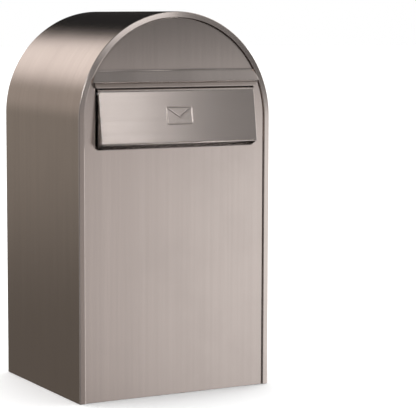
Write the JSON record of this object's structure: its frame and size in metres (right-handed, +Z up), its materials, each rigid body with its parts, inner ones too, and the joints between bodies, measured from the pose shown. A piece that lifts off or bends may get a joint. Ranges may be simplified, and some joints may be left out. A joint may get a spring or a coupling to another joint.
{
  "type": "letter box",
  "caption": "Arched stainless steel letter box with a top-hinged letter flap under a hood at the front and a locked drop-down door at the back.",
  "frame": {"origin": "centre of the base bolt pattern, on the underside of the base, midway between the front and back rims", "axes": "+Z up, front with the letter flap towards -Y, door towards +Y, +X to the right seen from the front"},
  "size_m": [0.34, 0.3111, 0.6099],
  "materials": {
    "outer_steel": "fine brushed, warm grey",
    "inner_steel": "mill finish",
    "plated_steel": "bright plated",
    "lock_chrome": "polished",
    "black_rubber": "matte"
  },
  "bodies": {
    "housing": {"shell": "outer_steel", "front_panel": "outer_steel", "hood_panel": "outer_steel", "back_panel": "outer_steel", "base_plate": "inner_steel", "base_rail_left": "inner_steel", "base_rail_right": "inner_steel", "letter_guide": "inner_steel", "guide_studs": "plated_steel", "guide_nuts": "plated_steel", "slot_trim": "black_rubber", "hinge_bracket_left": "inner_steel", "hinge_bracket_right": "inner_steel", "bracket_rivets": "plated_steel", "flap_hinge_pin": "plated_steel", "pin_clips": "plated_steel", "door_stop_frame": "inner_steel", "frame_rivets": "plated_steel", "door_seal": "black_rubber", "door_pivot_pins": "plated_steel", "strike_plate": "plated_steel", "strike_rivets": "plated_steel"},
    "flap": {"mail_flap": "outer_steel", "flap_rib": "inner_steel", "flap_buffers": "black_rubber"},
    "door": {"door_panel": "outer_steel", "door_stiffener": "inner_steel", "lock_housing": "lock_chrome", "lock_gasket": "black_rubber", "lock_nut": "plated_steel"},
    "lock": {"lock_plug": "lock_chrome", "lock_cam": "plated_steel", "cam_washer": "plated_steel", "cam_screw": "plated_steel"}
  },
  "joints": [
    {"name": "flap_hinge", "type": "hinge", "parent": "housing", "child": "flap", "pos_m": [0, -0.144, 0.483], "axis": [-1, 0, 0], "range_deg": [0, 75]},
    {"name": "door_hinge", "type": "hinge", "parent": "housing", "child": "door", "pos_m": [0, 0.137, 0.01], "axis": [-1, 0, 0], "range_deg": [0, 88]},
    {"name": "lock_turn", "type": "hinge", "parent": "door", "child": "lock", "pos_m": [0, 0.145, 0.334], "axis": [0, -1, 0], "range_deg": [0, 90]}
  ]
}
